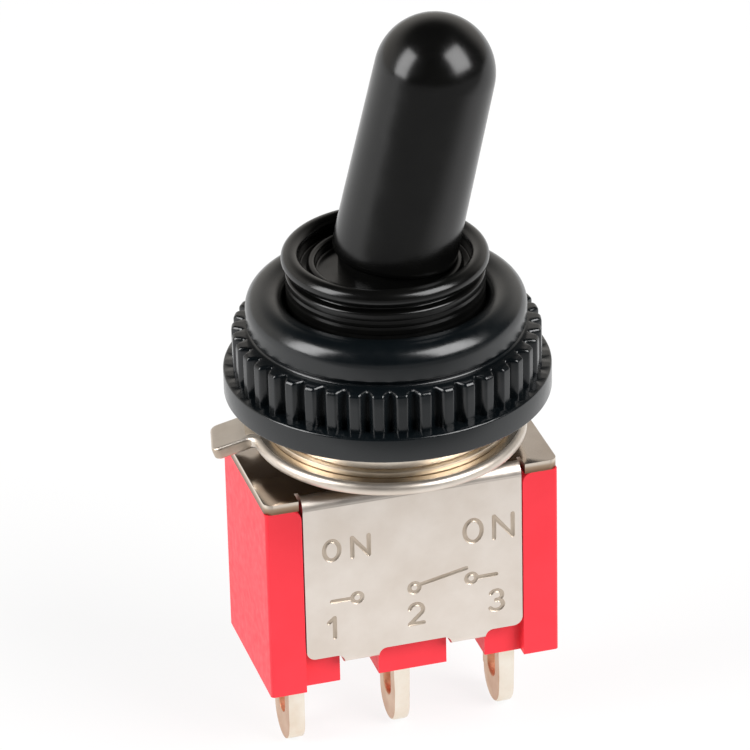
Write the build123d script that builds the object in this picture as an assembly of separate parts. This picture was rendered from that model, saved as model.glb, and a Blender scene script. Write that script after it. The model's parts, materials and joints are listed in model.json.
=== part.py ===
from build123d import *
import math
import os

# Miniature changeover toggle switch with a bat lever under a rubber sealing boot.
# Millimetres, +Z up. The origin is on the bushing's axis at the top face of the metal frame.
# +X runs along the row of terminals, towards terminal 3; the lever leans to +X at rest.

CUT = 1.0                     # how far a cutting shape runs past the material

# Base moulding
BODY_LENGTH = 12.7            # along the terminal row
BODY_DEPTH = 6.65
BODY_BOTTOM_Z = -9.25
BODY_EDGE_R = 0.15            # upright outer edges
PILLAR_CORNER_R = 0.45        # top inner corners of the end pillars
SEAT_CHAMFER = 0.12           # top edges under the bends of the frame's legs
WALL = 0.62                   # cavity wall, front and back
HEAD_CLEARANCE = 0.25         # between the heads of the outer terminals and the end walls
FLOOR_Z = -5.6                # floor of the contact cavity
SLOT_WIDTH = 1.7              # slots between the terminal blocks
WELL_LENGTH = 1.5             # sealing wells in the underside
WELL_WIDTH = 3.1
WELL_DEPTH = 1.0

# Metal frame
FRAME_T = 0.45
FRAME_CORNER_R = 0.35
LEG_WIDTH = 9.5
LEG_BOTTOM_Z = -7.72
LEG_CORNER_R = 0.4
BEND_R = 0.55                 # outside radius of the bend into each leg
RELIEF_WIDTH = 0.16           # cut beside each leg
RELIEF_DEPTH = 0.7
TAB_WIDTH = 1.5               # crimp tabs folded under the base
TAB_REACH = 1.3
TAB_BEND_R = 0.3
TAB_FLARE_R = 0.35            # hollow corners where a tab meets its leg
LEG_GAP = 0.05                # between a leg and the base

# Bushing
BUSHING_R = 3.175
BUSHING_TOP_Z = 7.85
BUSHING_CHAMFER = 0.3
NECK_R = 2.5                  # riveted neck through the frame
RIVET_R = 2.65
RIVET_T = 0.25
BORE_R = 2.2                  # lower bore, for the swing of the lever's arm
EXIT_R = 1.75                 # narrowest part of the mouth above the ball
MOUTH_R = 1.95
KEYWAY_WIDTH = 1.3
KEYWAY_DEPTH = 0.45
KEY_AZIMUTH = 167.0           # keyway and locating tab, degrees from +X

# Lever
PIVOT_Z = 6.2
LEVER_TILT = 13.0             # each side of upright
BALL_R = 2.0
BALL_FLAT = 1.3               # half width across the ball's flats
FIT = 0.05                    # running clearance
SHANK_R = 1.0
BAT_R = 1.44
BAT_START = 4.0               # where the shank begins to swell, from the pivot
BAT_FULL = 9.2
LEVER_LENGTH = 12.4           # pivot to tip
ARM_R = 0.62
ARM_LENGTH = 8.6              # pivot to the arm's lower end

# Plunger and its spring
PLUNGER_R = 1.05
PLUNGER_TOP = 7.95            # distances from the pivot, down the arm
PLUNGER_FLOOR = 9.5
NOSE_R = 0.7
NOSE_REACH = 0.6              # of the rounded nose, beyond the floor
SPRING_R = 0.46               # mean radius of the coil
SPRING_WIRE_R = 0.09
SPRING_TURNS = 2.5

# Rocker and contacts
ROCKER_TILT = 6.0             # each side of level
ROCKER_T = 0.35
ROCKER_WIDTH = 1.9
ROCKER_HALF = 4.6
DISH_R = 5.6                  # hollow that the plunger's nose runs in
DISH_HALF = 2.3
DISH_Z = -3.93                # lowest point of the hollow's top face, rocker level
TRUNNION_R = 0.2
TRUNNION_REACH = 1.7
CONTACT_X = 4.0
CONTACT_R = 0.55
CONTACT_T = 0.3
FIXED_R = 0.6
FIXED_T = 0.3
CONTACT_GAP = 0.04            # left open on the closed side

# Terminals
TERMINAL_PITCH = 4.7
BLADE_T = 0.7
BLADE_WIDTH = 2.3
BLADE_TIP_Z = -13.3
EYE_WIDTH = 0.95
EYE_LENGTH = 1.9
EYE_INSET = 1.25              # from the lug's tip to the eye
HEAD_REACH = 3.35             # inner end of an outer terminal's head, from the axis
CRADLE_LENGTH = 1.5
CRADLE_T = 0.45
EAR_INNER = 1.2
EAR_TOP_Z = -3.75
EAR_CORNER_R = 0.25

# Washers
LOCATING_R = 5.8
LOCATING_T = 0.55
LOCATING_Z = 0.75             # underside
LOCATING_EDGE_R = 0.2
WASHER_BORE_R = 3.25
KEY_CLEARANCE = 0.05
LUG_WIDTH = 2.15
LUG_LENGTH = 1.7
LUG_BEND = 24.0               # degrees down
LUG_SETBACK = 0.14            # of the bend, inside the washer's edge
LUG_CORNER_R = 0.3
LOCK_R = 5.1
LOCK_T = 0.35
LOCK_RIM_R = 4.2
LOCK_TEETH = 10
LOCK_TOOTH_WIDTH = 0.7

# Boot nut and its metal insert
COLLAR_R = 4.95
COLLAR_CHAMFER = 0.1
HUB_R = 4.3
INSERT_TOP_Z = 5.3
INSERT_BORE_R = 3.2
NUT_BASE_Z = 3.0
FLANGE_R = 6.85
FLANGE_T = 1.1
FLANGE_EDGE_R = 0.1
FLUTE_COUNT = 41
FLUTE_R = 6.45                # over the teeth
FLUTE_DEPTH = 0.56
FLUTE_MOUTH = 0.62            # width of a groove at the tooth tops
TOOTH_CHAMFER = 0.05
LEDGE_Z = 5.88                # flat on top of the teeth
RELIEF_R = 5.6                # undercut between the ledge and the dome's foot
DOME_R = 5.85
DOME_FOOT_Z = 6.2
CROWN_R = 0.85                # section radius of the rounded shoulder
CROWN_Z = 6.75
THROAT_R = 4.25

# Rubber boot
BOOT_NECK_R = 4.14
BOOT_CLEARANCE = 0.06
BOOT_FLANGE_R = 4.9
BOOT_FLANGE_TOP_Z = 6.1
BOOT_BORE_R = 3.35
RIDGE_DEPTH = 0.05
RIDGE_SLOPE = 0.2             # height of a ridge's sloping side
RIDGE_PITCH = 0.33
RIDGE_Z = 7.45
UNDERCUT_R = 3.85             # groove between the neck and the rolled collar
UNDERCUT_Z = 8.46
BEAD_R = 3.92                 # middle of the rolled collar
BEAD_SECTION_R = 0.385
BEAD_Z = 9.0
CHANNEL_R = 3.55              # channel between the rolled collar and the web's fold
CHANNEL_FLOOR_Z = 8.58
FOLD_R = 3.06                 # middle of the small upright fold round the web
FOLD_T = 0.34
FOLD_EDGE_R = 0.11
FOLD_TOP_Z = 8.88
WEB_Z = 8.4                   # top of the web at the finger's root
WEB_UNDER_Z = 8.12
ROOT_R = 2.3
BOOT_BEND_Z = 7.5             # where the finger's axis meets the bushing's axis
BOOT_LEAN = 13.6
FINGER_FOOT_R = 2.6
FINGER_TIP_R = 2.49
FINGER_FOOT = 1.95            # distances along the finger from the bend
FINGER_SLACK = 0.04           # of the finger's length over the lever's
FINGER_BORE_R = 1.68


def block(x0, x1, y0, y1, z0, z1):
    """Box between two corners."""
    centre = Pos((x0 + x1) / 2, (y0 + y1) / 2, (z0 + z1) / 2)
    return centre * Box(x1 - x0, y1 - y0, z1 - z0)


def rod(radius, z0, z1):
    """Cylinder on the Z axis."""
    return Pos(0, 0, (z0 + z1) / 2) * Cylinder(radius, z1 - z0)


def turned(*lines):
    """Solid of revolution about Z; the closed outline is in (radius, z)."""
    face = make_face(Curve() + list(lines))
    return revolve(Plane.XZ * face, Axis.Z)


def turned_outline(points):
    """Solid of revolution from a plain polygon in (radius, z)."""
    return turned(Polyline(*points, close=True))


def leaned(part, height, angle):
    """Turn a part about the Y axis through the given height; it is drawn from z = 0 there."""
    return Pos(0, 0, height) * Rot(0, angle, 0) * part


def seat_depth():
    """Depth of the front and back recesses that take the frame's legs."""
    return FRAME_T + LEG_GAP


def terminal_xs():
    return [-TERMINAL_PITCH, 0, TERMINAL_PITCH]


def housing():
    """Moulded base: two end pillars, recessed faces, slots between the terminal blocks."""
    half_x, half_y = BODY_LENGTH / 2, BODY_DEPTH / 2
    top = -FRAME_T
    body = block(-half_x, half_x, -half_y, half_y, BODY_BOTTOM_Z, top)
    body = fillet(body.edges().filter_by(Axis.Z), BODY_EDGE_R)
    seat_half = LEG_WIDTH / 2 + LEG_GAP
    for side in (-1, 1):
        low, high = sorted((side * (half_y - seat_depth()), side * (half_y + CUT)))
        body -= block(-seat_half, seat_half, low, high, BODY_BOTTOM_Z - CUT, top + CUT)
    corners = body.edges().filter_by(Axis.Y).group_by(Axis.Z)[-1]
    corners = corners.filter_by(lambda edge: abs(abs(edge.center().X) - seat_half) < 0.01)
    body = fillet(corners, PILLAR_CORNER_R)
    bevel = SEAT_CHAMFER * math.sqrt(2)
    wedge = Rot(45, 0, 0) * Box(2 * (seat_half - PILLAR_CORNER_R), bevel, bevel)
    for side in (-1, 1):
        body -= Pos(0, side * (half_y - seat_depth()), top) * wedge
    for x in (-TERMINAL_PITCH / 2, TERMINAL_PITCH / 2):
        body -= block(x - SLOT_WIDTH / 2, x + SLOT_WIDTH / 2, -half_y - CUT, half_y + CUT,
                      BODY_BOTTOM_Z - CUT, LEG_BOTTOM_Z)
    cavity_x = TERMINAL_PITCH + BLADE_T / 2 + HEAD_CLEARANCE
    cavity_y = half_y - seat_depth() - WALL
    body -= block(-cavity_x, cavity_x, -cavity_y, cavity_y, FLOOR_Z, top + CUT)
    body -= rod(RIVET_R + LEG_GAP, top - RIVET_T - LEG_GAP, top + CUT)
    for x in terminal_xs():
        body -= blade(x, 0)
        body -= seal_block(x)
    return body


def blade(x, eye=1):
    """Solder lug through the base: an upright strip with a half-round end and a long eye."""
    length = FLOOR_Z - BLADE_TIP_Z
    radius = BLADE_WIDTH / 2
    outline = Pos(0, (FLOOR_Z + BLADE_TIP_Z + radius) / 2) * Rectangle(BLADE_WIDTH, length - radius)
    outline += Pos(0, BLADE_TIP_Z + radius) * Circle(radius)
    if eye:
        hole = SlotOverall(EYE_LENGTH, EYE_WIDTH, rotation=90)
        outline -= Pos(0, BLADE_TIP_Z + EYE_INSET + EYE_LENGTH / 2) * hole
    return Pos(x, 0, 0) * extrude(Plane.YZ * outline, BLADE_T / 2, both=True)


def seal_block(x):
    """Well under one terminal block, which the resin fills."""
    return block(x - WELL_LENGTH / 2, x + WELL_LENGTH / 2, -WELL_WIDTH / 2, WELL_WIDTH / 2,
                 BODY_BOTTOM_Z, BODY_BOTTOM_Z + WELL_DEPTH)


def terminal_seal(x):
    """Resin round one terminal."""
    return seal_block(x) - blade(x, 0)


def head_top_z():
    """Top of an outer terminal's head, under its fixed contact."""
    return fixed_top_z() - FIXED_T


def outer_terminal(side):
    """Lug with its upper end folded inwards under the fixed contact."""
    x = side * TERMINAL_PITCH
    outer = TERMINAL_PITCH + BLADE_T / 2
    low, high = sorted((side * outer, side * HEAD_REACH))
    head = block(low, high, -BLADE_WIDTH / 2, BLADE_WIDTH / 2, FLOOR_Z, head_top_z())
    outer_edge = head.edges().filter_by(Axis.Y).group_by(Axis.Z)[-1].sort_by(Axis.X)[0 if side < 0 else -1]
    return blade(x) + fillet(outer_edge, BLADE_T / 2)


def common_terminal():
    """Middle lug with the cradle that carries the rocker."""
    half = CRADLE_LENGTH / 2
    ear_outer = EAR_INNER + CRADLE_T
    part = blade(0) + block(-half, half, -ear_outer, ear_outer, FLOOR_Z, FLOOR_Z + CRADLE_T)
    for side in (-1, 1):
        low, high = sorted((side * EAR_INNER, side * ear_outer))
        ear = block(-half, half, low, high, FLOOR_Z, EAR_TOP_Z)
        tops = ear.edges().filter_by(Axis.Y).group_by(Axis.Z)[-1]
        part += fillet(tops, EAR_CORNER_R)
    notch = TRUNNION_R + FIT
    part -= Pos(0, 0, rocker_axis_z()) * Rot(90, 0, 0) * Cylinder(notch, 2 * (ear_outer + CUT))
    part -= block(-notch, notch, -ear_outer - CUT, ear_outer + CUT, rocker_axis_z(), EAR_TOP_Z + CUT)
    return part


def rocker_axis_z():
    """Height of the rocker's trunnions, at mid thickness of the hollow."""
    return DISH_Z - ROCKER_T / 2


def wing_z():
    """Top face of the rocker's flat wings when it is level."""
    return DISH_Z + DISH_R - math.sqrt(DISH_R ** 2 - DISH_HALF ** 2)


def rocker_pose(part):
    """The blade is drawn level and stored tilted, with its -X end down."""
    axis_z = rocker_axis_z()
    return Pos(0, 0, axis_z) * Rot(0, -ROCKER_TILT, 0) * Pos(0, 0, -axis_z) * part


def rocker():
    """See-saw contact blade: a dished middle, flat wings, and a trunnion each side."""
    top, dip, low = wing_z(), DISH_Z, wing_z() - ROCKER_T
    outline = Curve() + [
        Line((-ROCKER_HALF, top), (-DISH_HALF, top)),
        ThreePointArc((-DISH_HALF, top), (0, dip), (DISH_HALF, top)),
        Line((DISH_HALF, top), (ROCKER_HALF, top)),
        Line((ROCKER_HALF, top), (ROCKER_HALF, low)),
        Line((ROCKER_HALF, low), (DISH_HALF, low)),
        ThreePointArc((DISH_HALF, low), (0, dip - ROCKER_T), (-DISH_HALF, low)),
        Line((-DISH_HALF, low), (-ROCKER_HALF, low)),
        Line((-ROCKER_HALF, low), (-ROCKER_HALF, top)),
    ]
    strip = extrude(Plane.XZ * make_face(outline), ROCKER_WIDTH / 2, both=True)
    strip = fillet(strip.edges().filter_by(Axis.Z), ROCKER_WIDTH / 4)
    trunnion = Pos(0, 0, rocker_axis_z()) * Rot(90, 0, 0) * Cylinder(TRUNNION_R, 2 * TRUNNION_REACH)
    return rocker_pose(strip + trunnion)


def moving_contact(side):
    """Silver button under one wing of the rocker."""
    low = wing_z() - ROCKER_T
    button = rod(CONTACT_R, low - CONTACT_T, low)
    button = chamfer(button.edges().group_by(Axis.Z)[0], CONTACT_T / 4)
    return rocker_pose(Pos(side * CONTACT_X, 0, 0) * button)


def fixed_top_z():
    """Top of a fixed contact: just under the tilted button."""
    return moving_contact(-1).bounding_box().min.Z - CONTACT_GAP


def fixed_contact(side):
    """Silver button on the head of an outer terminal."""
    top = fixed_top_z()
    button = rod(FIXED_R, top - FIXED_T, top)
    button = chamfer(button.edges().group_by(Axis.Z)[-1], FIXED_T / 4)
    return Pos(side * CONTACT_X, 0, 0) * button


def frame():
    """Saddle of sheet metal: a top plate, two bent legs and crimp tabs under the base."""
    half_x, half_y, leg = BODY_LENGTH / 2, BODY_DEPTH / 2, LEG_WIDTH / 2
    plate = block(-half_x, half_x, -half_y, half_y, -FRAME_T, 0)
    plate = fillet(plate.edges().filter_by(Axis.Z), FRAME_CORNER_R)
    notch = leg + RELIEF_WIDTH
    for side in (-1, 1):
        low, high = sorted((side * (half_y - RELIEF_DEPTH), side * (half_y + CUT)))
        plate -= block(-notch, notch, low, high, -FRAME_T - CUT, CUT)
    plate -= rod(NECK_R, -FRAME_T - CUT, CUT)
    for side in (-1, 1):
        plate += leg_with_tabs(side)
    return plate


def leg_with_tabs(side):
    """One leg, swept round its bend, with two tabs folded under the base."""
    half_y, leg = BODY_DEPTH / 2, LEG_WIDTH / 2
    inner_r = BEND_R - FRAME_T
    root = half_y - RELIEF_DEPTH
    face = half_y - FRAME_T
    section = Curve() + [
        Line((root, 0), (half_y - BEND_R, 0)),
        RadiusArc((half_y - BEND_R, 0), (half_y, -BEND_R), BEND_R),
        Line((half_y, -BEND_R), (half_y, LEG_BOTTOM_Z)),
        Line((half_y, LEG_BOTTOM_Z), (face, LEG_BOTTOM_Z)),
        Line((face, LEG_BOTTOM_Z), (face, -BEND_R)),
        RadiusArc((face, -BEND_R), (half_y - BEND_R, -FRAME_T), -inner_r),
        Line((half_y - BEND_R, -FRAME_T), (root, -FRAME_T)),
        Line((root, -FRAME_T), (root, 0)),
    ]
    sheet = extrude(Plane.YZ * make_face(section), leg, both=True)
    low_corners = sheet.edges().filter_by(Axis.Y).group_by(Axis.Z)[0]
    sheet = fillet(low_corners, LEG_CORNER_R)
    under = LEG_BOTTOM_Z - FRAME_T
    tab_section = Curve() + [
        Line((half_y, LEG_BOTTOM_Z + FRAME_T), (half_y, under + TAB_BEND_R)),
        RadiusArc((half_y, under + TAB_BEND_R), (half_y - TAB_BEND_R, under), TAB_BEND_R),
        Line((half_y - TAB_BEND_R, under), (half_y - TAB_REACH, under)),
        Line((half_y - TAB_REACH, under), (half_y - TAB_REACH, LEG_BOTTOM_Z)),
        Line((half_y - TAB_REACH, LEG_BOTTOM_Z), (face, LEG_BOTTOM_Z)),
        Line((face, LEG_BOTTOM_Z), (face, LEG_BOTTOM_Z + FRAME_T)),
        Line((face, LEG_BOTTOM_Z + FRAME_T), (half_y, LEG_BOTTOM_Z + FRAME_T)),
    ]
    tab = extrude(Plane.YZ * make_face(tab_section), TAB_WIDTH / 2, both=True)
    for x in (-TERMINAL_PITCH / 2, TERMINAL_PITCH / 2):
        sheet += Pos(x, 0, 0) * tab
        for hand in (-1, 1):
            sheet += Pos(x + hand * TAB_WIDTH / 2, 0, LEG_BOTTOM_Z) * tab_flare(hand)
    return sheet if side > 0 else Rot(0, 0, 180) * sheet


def tab_flare(hand):
    """Hollow corner beside a tab, drawn at the tab's edge and the leg's lower edge."""
    size = TAB_FLARE_R
    corner = Rectangle(2 * size, 2 * size) - Pos(hand * size, -size) * Circle(size)
    corner &= Pos(hand * size / 2, -size / 2) * Rectangle(size, size)
    return Pos(0, BODY_DEPTH / 2 - FRAME_T, 0) * extrude(Plane.XZ * corner, FRAME_T, dir=(0, 1, 0))


def bushing():
    """Keyed bushing riveted into the frame; thread left plain at its major diameter."""
    shell = turned_outline([
        (0, -FRAME_T - RIVET_T), (RIVET_R, -FRAME_T - RIVET_T), (RIVET_R, -FRAME_T), (NECK_R, -FRAME_T),
        (NECK_R, 0), (BUSHING_R, 0), (BUSHING_R, BUSHING_TOP_Z - BUSHING_CHAMFER),
        (BUSHING_R - BUSHING_CHAMFER, BUSHING_TOP_Z), (0, BUSHING_TOP_Z)])
    seat_r, flat = BALL_R + FIT, BALL_FLAT + FIT
    slab = block(-BODY_LENGTH, BODY_LENGTH, -flat, flat, -BODY_LENGTH, BODY_LENGTH)
    exit_z = PIVOT_Z + math.sqrt(seat_r ** 2 - EXIT_R ** 2)
    shell -= rod(BORE_R, -FRAME_T - RIVET_T - CUT, PIVOT_Z) & slab
    shell -= (Pos(0, 0, PIVOT_Z) * Sphere(seat_r)) & slab
    shell -= turned_outline([(0, PIVOT_Z), (EXIT_R, exit_z - FIT), (EXIT_R, exit_z), (MOUTH_R, BUSHING_TOP_Z),
                             (MOUTH_R, BUSHING_TOP_Z + CUT), (0, BUSHING_TOP_Z + CUT)])
    keyway = block(BUSHING_R - KEYWAY_DEPTH, BUSHING_R + CUT, -KEYWAY_WIDTH / 2, KEYWAY_WIDTH / 2,
                   LOCATING_Z, BUSHING_TOP_Z + CUT)
    return shell - Rot(0, 0, KEY_AZIMUTH) * keyway


def lever():
    """Bat lever: swelling bat, flatted ball and plain lower arm, turned from one bar."""
    bat = turned(
        Line((0, 0), (SHANK_R, 0)),
        Line((SHANK_R, 0), (SHANK_R, BAT_START)),
        Line((SHANK_R, BAT_START), (BAT_R, BAT_FULL)),
        Line((BAT_R, BAT_FULL), (BAT_R, LEVER_LENGTH - BAT_R)),
        RadiusArc((BAT_R, LEVER_LENGTH - BAT_R), (0, LEVER_LENGTH), -BAT_R),
        Line((0, LEVER_LENGTH), (0, 0)),
    )
    ball = Sphere(BALL_R) & Box(4 * BALL_R, 2 * BALL_FLAT, 4 * BALL_R)
    arm = rod(ARM_R, -ARM_LENGTH, 0)
    return leaned(bat + ball + arm, PIVOT_Z, LEVER_TILT)


def plunger():
    """Nylon cap on the lever's arm; its rounded nose runs in the rocker's hollow."""
    nose_z = -(PLUNGER_FLOOR + NOSE_REACH - NOSE_R)
    cap = rod(PLUNGER_R, -PLUNGER_FLOOR, -PLUNGER_TOP)
    cap += Pos(0, 0, nose_z) * Sphere(NOSE_R)
    cap -= rod(ARM_R + FIT, -PLUNGER_FLOOR + FIT, 0)
    return leaned(cap, PIVOT_Z, LEVER_TILT)


def plunger_spring():
    """Coil between the arm's end and the plunger's floor."""
    height = PLUNGER_FLOOR - ARM_LENGTH - FIT - 2 * SPRING_WIRE_R - 2 * FIT
    path = Helix(height / SPRING_TURNS, height, SPRING_R)
    start = Plane(origin=path @ 0, z_dir=path % 0)
    coil = sweep(start * Circle(SPRING_WIRE_R), path=path)
    return leaned(Pos(0, 0, -PLUNGER_FLOOR + FIT + SPRING_WIRE_R + FIT) * coil, PIVOT_Z, LEVER_TILT)


def locating_washer():
    """Thick keyed washer with one outer lug bent down."""
    ring = rod(LOCATING_R, LOCATING_Z, LOCATING_Z + LOCATING_T)
    ring = fillet(ring.edges().filter_by(GeomType.CIRCLE), LOCATING_EDGE_R)
    bore = rod(WASHER_BORE_R, LOCATING_Z - CUT, LOCATING_Z + LOCATING_T + CUT)
    key_half = KEYWAY_WIDTH / 2 - KEY_CLEARANCE
    key_tip = BUSHING_R - KEYWAY_DEPTH + KEY_CLEARANCE
    top = LOCATING_Z + LOCATING_T
    key = block(key_tip, WASHER_BORE_R + LOCATING_T, -key_half, key_half, LOCATING_Z, top)
    root = LOCATING_R - LOCATING_T
    lug = block(0, LUG_LENGTH + LOCATING_T / 2, -LUG_WIDTH / 2, LUG_WIDTH / 2, -LOCATING_T, 0)
    lug = fillet(lug.edges().filter_by(Axis.Z).group_by(Axis.X)[-1], LUG_CORNER_R)
    lug = Pos(LOCATING_R, 0, top) * Rot(0, LUG_BEND, 0) * Pos(-LUG_SETBACK, 0, 0) * lug
    web = block(root - LOCATING_T, LOCATING_R, -LUG_WIDTH / 2, LUG_WIDTH / 2, LOCATING_Z, top)
    outer = Rot(0, 0, KEY_AZIMUTH) * (web + lug)
    return ring + outer - bore + Rot(0, 0, KEY_AZIMUTH) * key


def lock_washer():
    """Thin washer with internal teeth."""
    z0 = LOCATING_Z + LOCATING_T
    rim = rod(LOCK_R, z0, z0 + LOCK_T) - rod(LOCK_RIM_R, z0 - CUT, z0 + CUT)
    half = LOCK_TOOTH_WIDTH / 2
    tooth = block(WASHER_BORE_R, LOCK_RIM_R + LOCK_T, -half, half, z0, z0 + LOCK_T)
    for copy in PolarLocations(0, LOCK_TEETH):
        rim += copy * tooth
    return rim


def nut_insert():
    """Metal nut moulded into the boot nut: a collar below, a hub inside."""
    z0 = LOCATING_Z + LOCATING_T + LOCK_T
    return turned_outline([
        (INSERT_BORE_R, z0), (COLLAR_R - COLLAR_CHAMFER, z0), (COLLAR_R, z0 + COLLAR_CHAMFER),
        (COLLAR_R, NUT_BASE_Z), (HUB_R, NUT_BASE_Z), (HUB_R, INSERT_TOP_Z), (INSERT_BORE_R, INSERT_TOP_Z)])


def boot_nut():
    """Hard plastic nut: plain flange, fluted grip and a rolled shoulder round the boot."""
    flange_top = NUT_BASE_Z + FLANGE_T
    crown_r = DOME_R - CROWN_R
    lip_z = CROWN_Z + math.sqrt(CROWN_R ** 2 - (crown_r - THROAT_R) ** 2)
    body = turned(
        Line((HUB_R, NUT_BASE_Z), (FLANGE_R, NUT_BASE_Z)),
        Line((FLANGE_R, NUT_BASE_Z), (FLANGE_R, flange_top)),
        Line((FLANGE_R, flange_top), (FLUTE_R, flange_top)),
        Line((FLUTE_R, flange_top), (FLUTE_R, LEDGE_Z - TOOTH_CHAMFER)),
        Line((FLUTE_R, LEDGE_Z - TOOTH_CHAMFER), (FLUTE_R - TOOTH_CHAMFER, LEDGE_Z)),
        Line((FLUTE_R - TOOTH_CHAMFER, LEDGE_Z), (RELIEF_R, LEDGE_Z)),
        Line((RELIEF_R, LEDGE_Z), (DOME_R, DOME_FOOT_Z)),
        Line((DOME_R, DOME_FOOT_Z), (DOME_R, CROWN_Z)),
        ThreePointArc((DOME_R, CROWN_Z), (crown_r, CROWN_Z + CROWN_R), (THROAT_R, lip_z)),
        Line((THROAT_R, lip_z), (THROAT_R, BOOT_FLANGE_TOP_Z + BOOT_CLEARANCE)),
        Line((THROAT_R, BOOT_FLANGE_TOP_Z + BOOT_CLEARANCE),
             (BOOT_FLANGE_R + BOOT_CLEARANCE, BOOT_FLANGE_TOP_Z + BOOT_CLEARANCE)),
        Line((BOOT_FLANGE_R + BOOT_CLEARANCE, BOOT_FLANGE_TOP_Z + BOOT_CLEARANCE),
             (BOOT_FLANGE_R + BOOT_CLEARANCE, INSERT_TOP_Z)),
        Line((BOOT_FLANGE_R + BOOT_CLEARANCE, INSERT_TOP_Z), (HUB_R, INSERT_TOP_Z)),
        Line((HUB_R, INSERT_TOP_Z), (HUB_R, NUT_BASE_Z)),
    )
    rim = body.edges().filter_by(GeomType.CIRCLE).filter_by(lambda edge: abs(edge.radius - FLANGE_R) < 0.01)
    body = fillet(rim, FLANGE_EDGE_R)
    return body - flutes()


def flutes():
    """V grooves between the grip's teeth, open at the top on to the ledge."""
    z0, z1 = NUT_BASE_Z + FLANGE_T, DOME_FOOT_Z
    root, mouth = FLUTE_R - FLUTE_DEPTH, FLUTE_MOUTH / 2
    overshoot = FLUTE_DEPTH / 2
    spread = mouth * (FLUTE_DEPTH + overshoot) / FLUTE_DEPTH
    groove = Polyline((root, 0), (FLUTE_R + overshoot, -spread), (FLUTE_R + overshoot, spread), close=True)
    groove = Pos(0, 0, z0) * extrude(make_face(groove), z1 - z0)
    return [copy * groove for copy in PolarLocations(0, FLUTE_COUNT)]


def boot():
    """Rubber moulding: clamped flange, ridged neck, rolled collar, folded web and leaning finger."""
    collar = boot_collar()
    foot, dome = FINGER_FOOT, finger_dome()
    edge = FINGER_FOOT_R - ROOT_R
    finger = turned(
        Line((0, 0), (ROOT_R, 0)),
        Line((ROOT_R, 0), (ROOT_R, foot - edge)),
        RadiusArc((ROOT_R, foot - edge), (FINGER_FOOT_R, foot), -edge),
        Line((FINGER_FOOT_R, foot), (FINGER_TIP_R, dome)),
        RadiusArc((FINGER_TIP_R, dome), (0, dome + FINGER_TIP_R), -FINGER_TIP_R),
        Line((0, dome + FINGER_TIP_R), (0, 0)),
    )
    finger = leaned(finger, BOOT_BEND_Z, BOOT_LEAN)
    finger -= rod(3 * ROOT_R, 0, WEB_UNDER_Z)
    bore = rod(FINGER_BORE_R, 0, dome) + Pos(0, 0, dome) * Sphere(FINGER_BORE_R)
    return collar + finger - leaned(bore, BOOT_BEND_Z, BOOT_LEAN)


def finger_dome():
    """Centre of the finger's domed end, from its bend: just beyond the middle of the lever's round tip."""
    return PIVOT_Z + LEVER_LENGTH - BAT_R - BOOT_BEND_Z + FINGER_SLACK


def boot_collar():
    """Flange, neck, collar and web, all round the bushing's axis."""
    base_z = INSERT_TOP_Z + BOOT_CLEARANCE
    fold_inner, fold_outer = FOLD_R - FOLD_T / 2, FOLD_R + FOLD_T / 2
    body = turned_outline([
        (BOOT_BORE_R, base_z), (BOOT_FLANGE_R, base_z), (BOOT_FLANGE_R, BOOT_FLANGE_TOP_Z),
        (BOOT_NECK_R, BOOT_FLANGE_TOP_Z), (BOOT_NECK_R, UNDERCUT_Z), (UNDERCUT_R, UNDERCUT_Z),
        (UNDERCUT_R, BEAD_Z), (CHANNEL_R, BEAD_Z), (CHANNEL_R, CHANNEL_FLOOR_Z),
        (fold_outer, CHANNEL_FLOOR_Z), (fold_outer, FOLD_TOP_Z), (fold_inner, FOLD_TOP_Z),
        (fold_inner, WEB_Z), (0, WEB_Z), (0, WEB_UNDER_Z), (BOOT_BORE_R, WEB_UNDER_Z)])
    fold_top = body.edges().filter_by(GeomType.CIRCLE)
    fold_top = fold_top.filter_by(lambda edge: abs(edge.center().Z - FOLD_TOP_Z) < 0.001)
    body = fillet(fold_top, FOLD_EDGE_R)
    body += Pos(0, 0, BEAD_Z) * Torus(BEAD_R, BEAD_SECTION_R)
    for step in range(3):
        z = RIDGE_Z + step * RIDGE_PITCH
        outside = BOOT_NECK_R + RIDGE_DEPTH
        groove = turned_outline([(BOOT_NECK_R - RIDGE_DEPTH, z), (outside, z - RIDGE_SLOPE), (outside, z)])
        body -= groove
    return body


def nodes():
    """Every node of the switch with its solid."""
    parts = {
        "housing": housing(),
        "frame": frame(),
        "bushing": bushing(),
        "locating_washer": locating_washer(),
        "lock_washer": lock_washer(),
        "nut_insert": nut_insert(),
        "boot_nut": boot_nut(),
        "boot": boot(),
        "lever": lever(),
        "plunger": plunger(),
        "plunger_spring": plunger_spring(),
        "rocker": rocker(),
        "terminal_1": outer_terminal(-1),
        "terminal_2": common_terminal(),
        "terminal_3": outer_terminal(1),
    }
    for number, side in ((1, -1), (3, 1)):
        parts[f"moving_contact_{number}"] = moving_contact(side)
        parts[f"fixed_contact_{number}"] = fixed_contact(side)
    for number, x in enumerate(terminal_xs(), 1):
        parts[f"terminal_seal_{number}"] = terminal_seal(x)
    return parts


os.makedirs("parts", exist_ok=True)
for name, solid in nodes().items():
    export_step(solid, f"parts/{name}.step")
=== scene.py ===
import json
import math

import bmesh
import bpy
from mathutils import Matrix, Vector

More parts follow.
